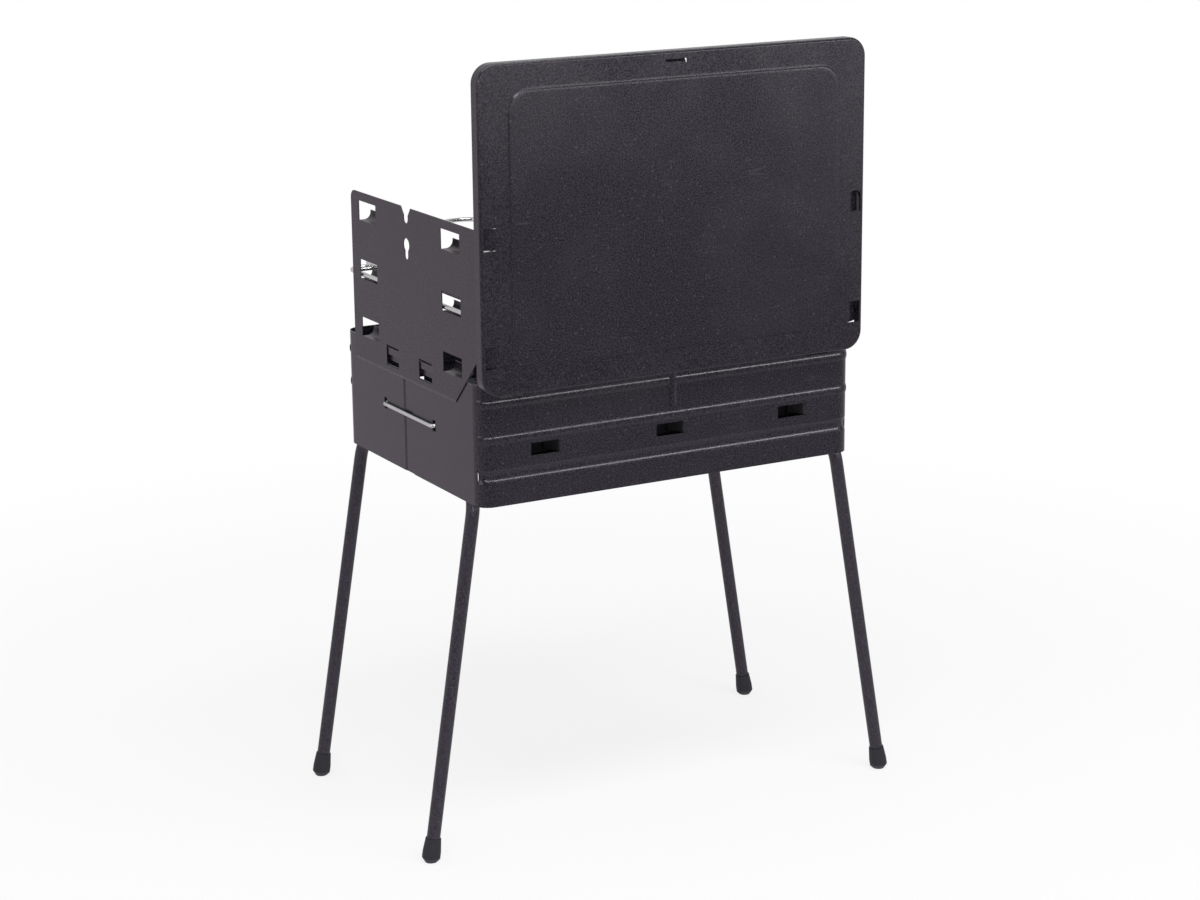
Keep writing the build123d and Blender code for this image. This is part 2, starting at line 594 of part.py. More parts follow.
def leg_frame():
    """Right leg frame: one tube bent into a U, its cross tube held under the base plate."""
    spread = (LEG_FOOT_HALF - LEG_TOP_HALF) / BOX_BOTTOM
    top_half = LEG_TOP_HALF - spread * (LEG_AXIS_Z - BOX_BOTTOM)
    end_run = LEG_RUN - FOOT_SOLE
    end_half = top_half + (LEG_FOOT_HALF - top_half) * end_run / LEG_RUN
    path = FilletPolyline(
        leg_point(end_run, -end_half),
        leg_point(0, -top_half),
        leg_point(0, top_half),
        leg_point(end_run, end_half),
        radius=LEG_BEND,
    )
    ring = Circle(TUBE / 2) - Circle(TUBE / 2 - TUBE_WALL)
    frame = sweep(Plane(origin=path @ 0, z_dir=path % 0) * ring, path=path)
    feet = []
    for sign in (1, -1):
        tip = Vector(*leg_point(LEG_RUN, sign * LEG_FOOT_HALF))
        high = Vector(*leg_point(0, sign * top_half))
        axis = (high - tip).normalized()
        profile = Polyline(
            (0, -FOOT_SUNK),
            (FOOT_TIP_DIAMETER / 2, -FOOT_SUNK / 2),
            (FOOT_DIAMETER / 2, FOOT_BEVEL - FOOT_SUNK / 2),
            (FOOT_DIAMETER / 2, FOOT_BEVEL * 2),
            (FOOT_TOP_DIAMETER / 2, FOOT_LENGTH),
            (TUBE / 2, FOOT_LENGTH),
            (TUBE / 2, FOOT_SOLE),
            (0, FOOT_SOLE),
            close=True,
        )
        cup = revolve(Plane.XZ * make_face(profile), axis=Axis.Z)
        cup = Plane(origin=tip, z_dir=axis) * cup
        ground = block(0, 2 * LEG_FOOT_X, -LEG_FOOT_X, LEG_FOOT_X, -FOOT_LENGTH, 0)
        feet.append(cup - ground)
    return frame, feet


def leg_clip(y):
    """Strap under the base plate that wraps the right cross tube, its wing inward."""
    side = TUBE / 2 + CLIP_PLAY + CLIP_SHEET / 2
    wing_z = PLATE_BOTTOM - CLIP_SHEET / 2
    path = FilletPolyline(
        (LEG_AXIS_X - side - CLIP_WING, wing_z),
        (LEG_AXIS_X - side, wing_z),
        (LEG_AXIS_X - side, LEG_AXIS_Z - side),
        (LEG_AXIS_X + side, LEG_AXIS_Z - side),
        (LEG_AXIS_X + side, PLATE_BOTTOM),
        radius=[CLIP_SHEET, side - CLIP_BEND_SPARE, side - CLIP_BEND_SPARE],
    )
    start = Plane(origin=(0, y + CLIP_WIDTH / 2, 0), x_dir=(1, 0, 0), z_dir=(0, -1, 0))
    return extrude(start * trace(path, line_width=CLIP_SHEET), amount=CLIP_WIDTH)


def rivet_points():
    """Where the clip rivets stand, on both ends of the base plate."""
    x = LEG_AXIS_X - TUBE / 2 - CLIP_PLAY - CLIP_SHEET - CLIP_WING / 2
    return [
        (side * x, y + row * RIVET_PITCH / 2)
        for side in (1, -1)
        for y in (CLIP_Y, -CLIP_Y)
        for row in (1, -1)
    ]


def rivet(x, y):
    """A button-headed rivet through a clip's wing and the base plate."""
    low = PLATE_BOTTOM - CLIP_SHEET
    up = (Align.CENTER, Align.CENTER, Align.MIN)
    down = (Align.CENTER, Align.CENTER, Align.MAX)
    shank = Pos(x, y, low) * Cylinder(RIVET_SHANK / 2, PLATE_TOP - low, align=up)
    upper = Pos(x, y, PLATE_TOP) * Cylinder(RIVET_HEAD / 2, RIVET_HEAD_HEIGHT, align=up)
    lower = Pos(x, y, low) * Cylinder(RIVET_HEAD / 2, RIVET_HEAD_HEIGHT, align=down)
    upper = chamfer(upper.faces().sort_by(Axis.Z)[-1].edges(), RIVET_CHAMFER)
    lower = chamfer(lower.faces().sort_by(Axis.Z)[0].edges(), RIVET_CHAMFER)
    return shank + upper + lower


def build():
    """Every piece by its node name, as a list of solids."""
    shell = half_shell()
    rear = shell
    for slot in hinge_slots():
        rear -= slot
    front = shell.rotate(Axis.Z, 180)
    plate = base_plate()
    clips = [leg_clip(y) for y in (CLIP_Y, -CLIP_Y)]
    left_clips = [mirrored(clip) for clip in clips]
    rivets = []
    for x, y in rivet_points():
        hole = Pos(x, y, PLATE_BOTTOM) * Cylinder(RIVET_SHANK / 2, 4 * SHEET)
        plate -= hole
        clips = [clip - hole for clip in clips]
        left_clips = [clip - hole for clip in left_clips]
        rivets.append(rivet(x, y))
    panel = end_panel()
    frame, bars, handle = rack()
    right_bail = bail()
    leg, feet = leg_frame()
    return {
        "rear_shell": [rear],
        "front_shell": [front],
        "base_plate": [plate],
        "charcoal_grate": [charcoal_grate()],
        "lid": [lid()],
        "right_panel": [panel],
        "left_panel": [mirrored(panel)],
        "rack_frame": [frame],
        "rack_bars": bars,
        "rack_handle": [handle],
        "right_bail": [right_bail],
        "left_bail": [right_bail.rotate(Axis.Z, 180)],
        "right_leg_frame": [leg],
        "left_leg_frame": [leg.rotate(Axis.Z, 180)],
        "right_rear_foot": [feet[0]],
        "right_front_foot": [feet[1]],
        "left_front_foot": [feet[0].rotate(Axis.Z, 180)],
        "left_rear_foot": [feet[1].rotate(Axis.Z, 180)],
        "right_leg_clips": clips,
        "left_leg_clips": left_clips,
        "clip_rivets": rivets,
    }


def solids(pieces):
    """All single solids of a list of shapes, moved to the object's own frame."""
    found = []
    for piece in pieces:
        found.extend((Pos(0, -ORIGIN_Y, 0) * piece).solids())
    return found


os.makedirs("parts", exist_ok=True)
for name, pieces in build().items():
    parts = solids(pieces)
    whole = parts[0] if len(parts) == 1 else Compound(children=parts)
    whole.label = name
    export_step(whole, f"parts/{name}.step")
    print(name, len(parts), "solids", round(whole.volume), "cubic millimetres")
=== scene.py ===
import functools
import math

import bmesh
import bpy
from bpy.props import FloatProperty, FloatVectorProperty, PointerProperty
from mathutils import Matrix, Vector


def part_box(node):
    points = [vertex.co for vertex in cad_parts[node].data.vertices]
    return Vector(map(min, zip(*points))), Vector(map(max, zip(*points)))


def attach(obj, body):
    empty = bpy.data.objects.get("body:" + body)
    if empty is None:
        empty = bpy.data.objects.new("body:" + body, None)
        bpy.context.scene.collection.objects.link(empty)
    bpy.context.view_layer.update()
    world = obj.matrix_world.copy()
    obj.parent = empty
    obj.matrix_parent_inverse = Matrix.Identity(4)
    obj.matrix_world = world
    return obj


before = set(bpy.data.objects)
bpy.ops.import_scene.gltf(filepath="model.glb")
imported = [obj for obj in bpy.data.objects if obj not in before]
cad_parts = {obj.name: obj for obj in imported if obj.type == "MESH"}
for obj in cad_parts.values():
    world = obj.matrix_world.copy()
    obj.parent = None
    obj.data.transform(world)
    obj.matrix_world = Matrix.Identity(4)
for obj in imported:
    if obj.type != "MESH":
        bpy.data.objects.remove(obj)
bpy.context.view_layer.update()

bl_info = {
    "name": "Folding Charcoal Grill",
    "version": (1, 0, 0),
    "blender": (4, 5, 0),
    "location": "View3D > Sidebar > Grill",
    "description": "Finishes and stages a folding charcoal grill, piece by piece",
    "category": "Object",
}

# The cooking rack's bars and cross wires, which its welds are set by.
RACK_BODY = "rack"
BAR_COUNT = 30
EDGE_BAR = 0.0040
CROSS_INSET = 0.0135

# A spot weld's share of its width along each axis, and how far the outer welds lie in from the bars' ends.
WELD_SHAPE = (0.8, 1.0, 0.45, 1.0)
WELD_INSET = 0.0005

# The matt coat of the fire box hardly mirrors. Enamel and the tubes' coat mirror with a faint tint.
FIRE_GLOSS = 0.06
ENAMEL_TINT = (0.97, 0.90, 0.99, 1.0)
TUBE_TINT = (0.97, 0.86, 1.0, 1.0)

# What lies in, on or under the coats.
FLECK = (0.085, 0.080, 0.092)
SMUDGE = (0.045, 0.043, 0.047)
SCRATCH = (0.16, 0.16, 0.17)
THIN_COAT = (0.14, 0.14, 0.15)
DUST = (0.32, 0.30, 0.28)
# Painted shade laid over the inside of the box.
INSIDE_SHADE = (0.004, 0.004, 0.0043)
BARE_STEEL = (0.20, 0.20, 0.21)
DULL_ZINC = (0.30, 0.30, 0.31)
CLIP_DUST = (0.30, 0.27, 0.24)
PALE_RUBBER = (0.04, 0.04, 0.043)
GRIT = (0.16, 0.15, 0.14)

# How much lighter the high spots of the hammered coat are than its dimples.
HAMMER_CONTRAST = 8.0

# How bright the room shows in mirrors on the grill's front and rear sides, and how much of that lights
# matt faces.
FRONT_ROOM = 0.60
REAR_ROOM = 0.18
MATT_SHARE = 0.90

# How bright the floor shows in mirrors, its faint cast there on the front side, and its specks.
FRONT_FLOOR = 0.61
REAR_FLOOR = 0.20
LEFT_REAR_FLOOR = 0.34
FLOOR_CAST = (1.0, 0.92, 1.0)
FLOOR_SPECK = (0.86, 0.86, 0.86)

WHITE = (1.0, 1.0, 1.0)


def colour_property(name, description, default):
    """A colour that the sidebar shows as a swatch."""
    return FloatVectorProperty(
        name=name, description=description, default=default, size=3, min=0.0, max=1.0, subtype="COLOR"
    )


class GrillFinish(bpy.types.PropertyGroup):
    """Colours and textures of the grill's finishes."""

    enamel: colour_property("Stove enamel", "Fired enamel of the lid and the box", (0.0050, 0.0044, 0.0074))
    enamel_light: colour_property("Enamel grain", "Light grains in fired enamel", (0.0292, 0.0262, 0.0358))
    panel: colour_property("Panel enamel", "Smoother enamel of the end panels", (0.0165, 0.0125, 0.0185))
    tube: colour_property("Leg coat", "Hammered coat of the leg tubes", (0.0062, 0.0055, 0.0075))
    wire: colour_property("Plated wire", "Bright plating of the cooking rack", (0.78, 0.78, 0.79))
    bail: colour_property("Bail wire", "Drawn steel of the carrying bails", (0.74, 0.73, 0.74))
    # Black enamel, kept near black so that it also stands as painted shade inside the fire box.
    fire: colour_property("Fire enamel", "Matt black enamel inside the fire box", (0.006, 0.006, 0.0065))
    zinc: colour_property("Zinc sheet", "Coated sheet of the leg clips", (0.46, 0.48, 0.51))
    rubber: colour_property("Rubber", "Moulded rubber of the feet", (0.011, 0.010, 0.018))
    grain_size: FloatProperty(
        name="Grain size", description="Size of the grains in the fired enamel",
        default=0.0014, min=0.0002, max=0.01, precision=5, subtype="DISTANCE", unit="LENGTH",
    )
    grain_depth: FloatProperty(
        name="Grain depth", description="Height of the grains in the fired enamel",
        default=0.000013, min=0.0, max=0.001, precision=6, subtype="DISTANCE", unit="LENGTH",
    )
    rim_width: FloatProperty(
        name="Rim wear", description="Height of the worn edge round the box's rim and along the lid's top",
        default=0.0012, min=0.0001, precision=4, subtype="DISTANCE", unit="LENGTH",
    )
    hammer_size: FloatProperty(
        name="Hammer size", description="Width of the dimples in the leg coat",
        default=0.0018, min=0.0005, max=0.02, precision=5, subtype="DISTANCE", unit="LENGTH",
    )
    spangle_size: FloatProperty(
        name="Spangle size", description="Width of the crystals on the zinc sheet",
        default=0.006, min=0.001, max=0.05, precision=4, subtype="DISTANCE", unit="LENGTH",
    )
    field_side: FloatProperty(
        name="Field side", description="From the lid's end to its pressed field",
        default=0.0328, min=0.0, precision=4, subtype="DISTANCE", unit="LENGTH",
    )
    field_low: FloatProperty(
        name="Field bottom", description="From the lid's lowest point to its pressed field",
        default=0.0276, min=0.0, precision=4, subtype="DISTANCE", unit="LENGTH",
    )
    field_high: FloatProperty(
        name="Field top", description="From the lid's top to its pressed field",
        default=0.0272, min=0.0, precision=4, subtype="DISTANCE", unit="LENGTH",
    )
    field_corner: FloatProperty(
        name="Field corner", description="Corner radius of the lid's pressed field",
        default=0.020, min=0.0, precision=4, subtype="DISTANCE", unit="LENGTH",
    )
    field_width: FloatProperty(
        name="Field shoulder", description="Width of the soft shoulder round the pressed field",
        default=0.0055, min=0.001, precision=4, subtype="DISTANCE", unit="LENGTH",
    )
    field_rise: FloatProperty(
        name="Field draw", description="Height that the sheet is drawn over its soft shoulder",
        default=0.00024, min=0.0, precision=5, subtype="DISTANCE", unit="LENGTH",
    )
    box_corner: FloatProperty(
        name="Box corner", description="Corner radius of the box's outermost faces",
        default=0.0155, min=0.001, precision=4, subtype="DISTANCE", unit="LENGTH",
    )
    # Past these depths the box's inside is matt and painted dark as shade.
    wall_depth: FloatProperty(
        name="Wall depth", description="From the box's outermost faces to the matt coat inside",
        default=0.0034, min=0.001, precision=4, subtype="DISTANCE", unit="LENGTH",
    )
    floor_depth: FloatProperty(
        name="Floor depth", description="From the box's underside to the matt coat inside",
        default=0.0010, min=0.0, precision=4, subtype="DISTANCE", unit="LENGTH",
    )
    weld_width: FloatProperty(
        name="Weld width", description="Width of a spot weld on the cooking rack",
        default=0.0038, min=0.001, max=0.01, precision=4, subtype="DISTANCE", unit="LENGTH",
    )


class GrillStage(bpy.types.PropertyGroup):
    """Camera, floor and lamps round the grill."""

    turn: FloatProperty(
        name="Turn", description="How far the camera stands round the grill from its front",
        default=math.radians(150.993), subtype="ANGLE", unit="ROTATION",
    )
    lift: FloatProperty(
        name="Lift", description="How far the camera looks down",
        default=math.radians(14.767), subtype="ANGLE", unit="ROTATION",
    )
    roll: FloatProperty(
        name="Roll", description="Lean of the camera to one side",
        default=math.radians(-0.559), subtype="ANGLE", unit="ROTATION",
    )
    distance: FloatProperty(
        name="Distance", description="From the camera to the point that it looks at",
        default=2.64283, min=0.1, subtype="DISTANCE", unit="LENGTH",
    )
    target: FloatVectorProperty(
        name="Target", description="Point that the camera looks at",
        default=(0.01736, 0.11026, 0.34630), size=3, precision=4, subtype="TRANSLATION", unit="LENGTH",
    )
    lens: FloatProperty(
        name="Lens", description="Focal length in millimetres on a 36 millimetre sensor",
        default=82.153, min=1.0, unit="CAMERA",
    )
    floor: colour_property("Floor", "Colour of the floor", (0.93, 0.93, 0.93))
    floor_reach: FloatProperty(
        name="Floor reach", description="Radius of the floor",
        default=24.0, min=1.0, subtype="DISTANCE", unit="LENGTH",
    )
    overhead: FloatProperty(
        name="Overhead", description="Power of the lamp above the grill",
        default=30.0, min=0.0, subtype="POWER", unit="POWER",
    )
    side: FloatProperty(
        name="Side", description="Power of the lamp beside the grill",
        default=8.0, min=0.0, subtype="POWER", unit="POWER",
    )
    fill: FloatProperty(
        name="Fill", description="Power of the lamp beside the camera",
        default=2.0, min=0.0, subtype="POWER", unit="POWER",
    )
    strip: FloatProperty(
        name="Strip", description="Power of the low strip lamp that lines the ribs",
        default=8.5, min=0.0, subtype="POWER", unit="POWER",
    )


# Shader nodes


def node(tree, kind, values=None, **settings):
    """A new node with its settings, and its inputs set or linked by name or number."""
    made = tree.nodes.new(kind)
    for name, value in settings.items():
        setattr(made, name, value)
    for name, value in (values or {}).items():
        socket = made.inputs[name]
        if isinstance(value, bpy.types.NodeSocket):
            tree.links.new(value, socket)
        else:
            socket.default_value = value
    return made


def calc(tree, operation, first, second=0.0):
    """The number that a Math node gives."""
    return node(tree, "ShaderNodeMath", {0: first, 1: second}, operation=operation).outputs[0]


def vector_calc(tree, operation, first, second=(0.0, 0.0, 0.0)):
    """The vector that a Vector Math node gives."""
    return node(tree, "ShaderNodeVectorMath", {0: first, 1: second}, operation=operation).outputs[0]


def length(tree, vector):
    """The length of a vector."""
    return node(tree, "ShaderNodeVectorMath", {0: vector}, operation="LENGTH").outputs["Value"]


def along(tree, vector, axis):
    """One part of a vector, by the name of its axis."""
    return node(tree, "ShaderNodeSeparateXYZ", {0: vector}).outputs[axis]


def spread(tree, value, low, high, to_low=0.0, to_high=1.0):
    """A value carried from one range to another, smoothly and without passing its ends."""
    values = {"Value": value, "From Min": low, "From Max": high, "To Min": to_low, "To Max": to_high}
    return node(tree, "ShaderNodeMapRange", values, interpolation_type="SMOOTHSTEP").outputs[0]


def solid_colour(value):
    """A colour with its fourth number, or a socket as it is."""
    if isinstance(value, bpy.types.NodeSocket):
        return value
    return (*value, 1.0)


def blend_colour(tree, factor, first, second):
    """Two colours mixed by a factor."""
    values = {0: factor, 6: solid_colour(first), 7: solid_colour(second)}
    return node(tree, "ShaderNodeMix", values, data_type="RGBA").outputs[2]


def noise(tree, vector, scale, detail=2.0, roughness=0.5, distortion=0.0):
    """A noise pattern from about 0 to 1."""
    values = {
        "Vector": vector, "Scale": scale, "Detail": detail, "Roughness": roughness, "Distortion": distortion,
    }
    return node(tree, "ShaderNodeTexNoise", values).outputs["Fac"]


def cells(tree, vector, scale):
    """The outputs of a Voronoi pattern."""
    return node(tree, "ShaderNodeTexVoronoi", {"Vector": vector, "Scale": scale}).outputs


def new_group(name, inputs, outputs):
    """An empty node group with named sockets, and its input and output nodes."""
    group = bpy.data.node_groups.new(name, "ShaderNodeTree")
    for label, kind, default in inputs:
        socket = group.interface.new_socket(name=label, in_out="INPUT", socket_type=kind)
        if default is not None:
            socket.default_value = default
    for label in outputs:
        group.interface.new_socket(name=label, in_out="OUTPUT", socket_type="NodeSocketFloat")
    return group, group.nodes.new("NodeGroupInput").outputs, group.nodes.new("NodeGroupOutput").inputs


def built_once(build):
    """Turns a builder into a function that gives its node group, which is built at the first call only."""
    name = build.__name__.replace("_", " ").title()

    @functools.wraps(build)
    def shared():
        if name not in bpy.data.node_groups:
            build(name)
        return bpy.data.node_groups[name]

    return shared


@built_once
def fired_grain(name):
    """Group: the fine grains of fired or sprayed coats, with a few light flecks."""
    group, given, result = new_group(
        name,
        (("Vector", "NodeSocketVector", None), ("Size", "NodeSocketFloat", 0.001)),
        ("Grain", "Fleck", "Height"),
    )
    scale = calc(group, "DIVIDE", 1.0, given["Size"])
    fine = noise(group, given["Vector"], scale, detail=1.0)
    coarse = noise(group, given["Vector"], calc(group, "MULTIPLY", scale, 0.31), detail=1.0)
    grain = spread(group, fine, 0.26, 0.74)
    spots = cells(group, given["Vector"], calc(group, "MULTIPLY", scale, 0.45))
    chance = node(group, "ShaderNodeSeparateColor", {"Color": spots["Color"]}).outputs["Red"]
    near = spread(group, spots["Distance"], 0.18, 0.42, 1.0, 0.0)
    fleck = calc(group, "MULTIPLY", near, spread(group, chance, 0.90, 0.97))
    height = calc(group, "ADD", grain, calc(group, "MULTIPLY", coarse, 0.3))
    group.links.new(grain, result["Grain"])
    group.links.new(fleck, result["Fleck"])
    group.links.new(height, result["Height"])


@built_once
def handling_marks(name):
    """Group: soft smudges from hands and a few fine scratches."""
    group, given, result = new_group(name, (("Vector", "NodeSocketVector", None),), ("Smudge", "Scratch"))
    wide = noise(group, given["Vector"], 9.0, detail=3.0, roughness=0.55, distortion=0.4)
    turned = node(
        group, "ShaderNodeMapping",
        {"Vector": given["Vector"], "Rotation": (0.5, 0.7, 0.3), "Scale": (9.0, 160.0, 60.0)},
    ).outputs[0]
    lines = noise(group, turned, 3.0, detail=1.0)
    patch = spread(group, noise(group, given["Vector"], 22.0, detail=1.0), 0.56, 0.66)
    scratch = calc(group, "MULTIPLY", spread(group, lines, 0.70, 0.74), patch)
    group.links.new(spread(group, wide, 0.38, 0.68), result["Smudge"])
    group.links.new(scratch, result["Scratch"])


@built_once
def settled_dust(name):
    """Group: a thin film of dust on faces that look up."""
    group, given, result = new_group(
        name,
        (
            ("Vector", "NodeSocketVector", None),
            ("Normal", "NodeSocketVector", None),
            ("Amount", "NodeSocketFloat", 0.3),
        ),
        ("Dust",),
    )
    facing = spread(group, along(group, given["Normal"], "Z"), 0.5, 0.98)
    patches = noise(group, given["Vector"], 55.0, detail=4.0, roughness=0.6)
    patches = spread(group, patches, 0.35, 0.75, 0.35, 1.0)
    dust = calc(group, "MULTIPLY", calc(group, "MULTIPLY", facing, patches), given["Amount"])
    group.links.new(dust, result["Dust"])


@built_once
def rim_wear(name):
    """Group: coat rubbed thin along a level edge, in broken strokes."""
    group, given, result = new_group(
        name,
        (
            ("Vector", "NodeSocketVector", None),
            ("Level", "NodeSocketFloat", 0.4535),
            ("Width", "NodeSocketFloat", 0.0012),
        ),
        ("Wear",),
    )
    height = along(group, given["Vector"], "Z")
    away = calc(group, "ABSOLUTE", calc(group, "SUBTRACT", height, given["Level"]))
    near = spread(group, calc(group, "DIVIDE", away, given["Width"]), 0.3, 1.0, 1.0, 0.0)
    broken = noise(group, given["Vector"], 130.0, detail=3.0, roughness=0.65)
    broken = spread(group, broken, 0.40, 0.62, 0.45, 1.0)
    group.links.new(calc(group, "MULTIPLY", near, broken), result["Wear"])


def past_core(tree, vector, middle, reach):
    """How far a place lies past a core box, along each axis."""
    away = vector_calc(tree, "ABSOLUTE", vector_calc(tree, "SUBTRACT", vector, middle))
    return vector_calc(tree, "SUBTRACT", away, reach)


def past_corner(tree, past, axes, corner):
    """How far a place lies outside a rounded outline, over two of the axes."""
    flat = vector_calc(tree, "MAXIMUM", vector_calc(tree, "MULTIPLY", past, axes))
    return calc(tree, "SUBTRACT", length(tree, flat), corner)


@built_once
def field_shoulder(name):
    """Group: the soft shoulder that the press draws round the lid's raised field."""
    group, given, result = new_group(
        name,
        (
            ("Vector", "NodeSocketVector", None),
            ("Middle", "NodeSocketVector", (0.0, 0.0, 0.0)),
            ("Reach", "NodeSocketVector", (0.1, 0.0, 0.1)),
            ("Corner", "NodeSocketFloat", 0.02),
            ("Width", "NodeSocketFloat", 0.005),
        ),
        ("Height",),
    )
    past = past_core(group, given["Vector"], given["Middle"], given["Reach"])
    away = past_corner(group, past, (1.0, 0.0, 1.0), given["Corner"])
    away = calc(group, "DIVIDE", away, given["Width"])
    group.links.new(spread(group, away, 0.0, 1.0, 1.0, 0.0), result["Height"])


@built_once
def fire_side(name):
    """Group: what lies further in than a box's own walls, where the coat is matt and painted dark as shade.
    """
    group, given, result = new_group(
        name,
        (
            ("Vector", "NodeSocketVector", None),
            ("Middle", "NodeSocketVector", (0.0, 0.0, 0.0)),
            ("Reach", "NodeSocketVector", (0.1, 0.1, 0.1)),
            ("Corner", "NodeSocketFloat", 0.01),
        ),
        ("Inside",),
    )
    past = past_core(group, given["Vector"], given["Middle"], given["Reach"])
    away = past_corner(group, past, (1.0, 1.0, 0.0), given["Corner"])
    nearest = calc(group, "MAXIMUM", away, along(group, past, "Z"))
    group.links.new(spread(group, nearest, -0.0003, 0.0, 1.0, 0.0), result["Inside"])


@built_once
def drawn_wire(name):
    """Group: the faint draw lines and stains of bright wire."""
    group, given, result = new_group(
        name,
        (("Vector", "NodeSocketVector", None), ("Fineness", "NodeSocketFloat", 1500.0)),
        ("Line", "Stain"),
    )
    lines = noise(group, given["Vector"], given["Fineness"], detail=2.0, roughness=0.6)
    stain = noise(group, given["Vector"], 60.0, detail=3.0, roughness=0.6)
    group.links.new(spread(group, lines, 0.3, 0.7), result["Line"])
    group.links.new(spread(group, stain, 0.5, 0.8), result["Stain"])


@built_once
def zinc_spangle(name):
    """Group: the crystal patches of zinc coated sheet."""
    group, given, result = new_group(
        name,
        (("Vector", "NodeSocketVector", None), ("Size", "NodeSocketFloat", 0.006)),
        ("Crystal", "Height"),
    )
    scale = calc(group, "DIVIDE", 1.0, given["Size"])
    bent = node(
        group, "ShaderNodeTexNoise", {"Vector": given["Vector"], "Scale": calc(group, "MULTIPLY", scale, 1.6)}
    ).outputs["Color"]
    push = node(group, "ShaderNodeVectorMath", {0: bent, "Scale": 0.003}, operation="SCALE").outputs[0]
    crystals = cells(group, vector_calc(group, "ADD", given["Vector"], push), scale)
    shade = node(group, "ShaderNodeSeparateColor", {"Color": crystals["Color"]}).outputs["Green"]
    group.links.new(shade, result["Crystal"])
    group.links.new(noise(group, given["Vector"], 900.0), result["Height"])


class Finish:
    """A material being built: its tree, its object coordinates and its main shader."""

    def __init__(self, name):
        self.material = bpy.data.materials.new(name)
        self.material.use_nodes = True
        self.tree = self.material.node_tree
        self.shader = self.tree.nodes["Principled BSDF"]
        self.place = self.tree.nodes.new("ShaderNodeTexCoord").outputs["Object"]
        self.normal = self.tree.nodes.new("ShaderNodeNewGeometry").outputs["Normal"]

    def group(self, tree, **values):
        """A shared node group, reading the object's coordinates."""
        made = self.tree.nodes.new("ShaderNodeGroup")
        made.node_tree = tree
        self.tree.links.new(self.place, made.inputs["Vector"])
        if "Normal" in made.inputs:
            self.tree.links.new(self.normal, made.inputs["Normal"])
        for name, value in values.items():
            made.inputs[name].default_value = value
        return made.outputs

    def layer(self, colour, mask, share, over):
        """A colour with another laid over it where a mask lets it, up to a share."""
        return blend_colour(self.tree, calc(self.tree, "MULTIPLY", mask, share), colour, over)

    def drive(self, socket, value):
        """Feeds one of the main shader's inputs."""
        self.tree.links.new(value, self.shader.inputs[socket])

    def fix(self, **values):
        """Sets inputs of the main shader that are the same all over."""
        for name, value in values.items():
            self.shader.inputs[name.replace("_", " ")].default_value = value

    def roughness(self, base, *changes):
        """Feeds the main shader's roughness: a base with a share of each mask on top."""
        for mask, share in changes:
            base = calc(self.tree, "ADD", calc(self.tree, "MULTIPLY", mask, share), base)
        self.drive("Roughness", base)

    def bump(self, height, distance):
        """Feeds the main shader's normal from a height, on top of an earlier one."""
        values = {"Height": height, "Distance": distance}
        earlier = self.shader.inputs["Normal"].links
        if earlier:
            values["Normal"] = earlier[0].from_socket
        self.drive("Normal", node(self.tree, "ShaderNodeBump", values).outputs[0])


def enamel_finish(
    name, dark, light, *,
    size, depth, rim, rim_width, rough, mottle, fleck, film, gloss=0.5, field=None, hollow=None,
):
    """Stove enamel: dark, finely grained, satin, thin along its rims.

    The lid adds its pressed field, and the box gives the hollow that its walls close painted shade and a matt
    coat.
    """
    finish = Finish(name)
    grain = finish.group(fired_grain(), Size=size)
    marks = finish.group(handling_marks())
    dust = finish.group(settled_dust(), Amount=film)["Dust"]
    worn = finish.group(rim_wear(), Level=rim, Width=rim_width)["Wear"]
    colour = finish.layer(dark, grain["Grain"], mottle, light)
    colour = finish.layer(colour, grain["Fleck"], fleck, FLECK)
    colour = finish.layer(colour, marks["Smudge"], 0.10, SMUDGE)
    colour = finish.layer(colour, marks["Scratch"], 0.10, SCRATCH)
    colour = finish.layer(colour, worn, 0.45, THIN_COAT)
    colour = finish.layer(colour, dust, 1.0, DUST)
    roughened = [(marks["Smudge"], 0.06), (grain["Grain"], 0.08), (dust, 0.5)]
    if hollow is not None:
        middle, reach, corner = hollow
        inside = finish.group(fire_side(), Middle=middle, Reach=reach, Corner=corner)["Inside"]
        # Painted shade darkens the inside of the box.
        colour = finish.layer(colour, inside, 1.0, INSIDE_SHADE)
        roughened.append((inside, 0.55))
    finish.drive("Base Color", colour)
    finish.roughness(rough, *roughened)
    finish.fix(Specular_Tint=ENAMEL_TINT, Specular_IOR_Level=gloss)
    finish.bump(grain["Height"], depth)
    if field is not None:
        middle, reach, corner, width, rise = field
        shoulder = finish.group(field_shoulder(), Middle=middle, Reach=reach, Corner=corner, Width=width)
        finish.bump(shoulder["Height"], rise)
    return finish.material


def tube_finish(settings):
    """Hammered coat of the leg tubes."""
    finish = Finish("hammered leg coat")
    grain = finish.group(fired_grain(), Size=settings.hammer_size)
    marks = finish.group(handling_marks())
    dark = tuple(settings.tube)
    light = tuple(min(1.0, value * HAMMER_CONTRAST) for value in dark)
    share = calc(finish.tree, "ADD", calc(finish.tree, "MULTIPLY", grain["Grain"], 0.6), 0.2)
    colour = blend_colour(finish.tree, share, dark, light)
    finish.drive("Base Color", finish.layer(colour, marks["Scratch"], 0.15, BARE_STEEL))
    finish.roughness(0.27, (marks["Smudge"], 0.08))
    finish.fix(Specular_Tint=TUBE_TINT)
    finish.bump(grain["Height"], 0.00004)
    return finish.material


def wire_finish(name, colour, rough, tarnish):
    """Bright wire: metal with faint draw lines and a little tarnish."""
    finish = Finish(name)
    drawn = finish.group(drawn_wire(), Fineness=1500.0)
    dull = tuple(value * tarnish for value in colour)
    finish.drive("Base Color", finish.layer(colour, drawn["Stain"], 0.6, dull))
    finish.roughness(rough, (drawn["Line"], 0.07), (drawn["Stain"], 0.08))
    finish.fix(Metallic=1.0)
    finish.bump(drawn["Line"], 0.000002)
    return finish.material


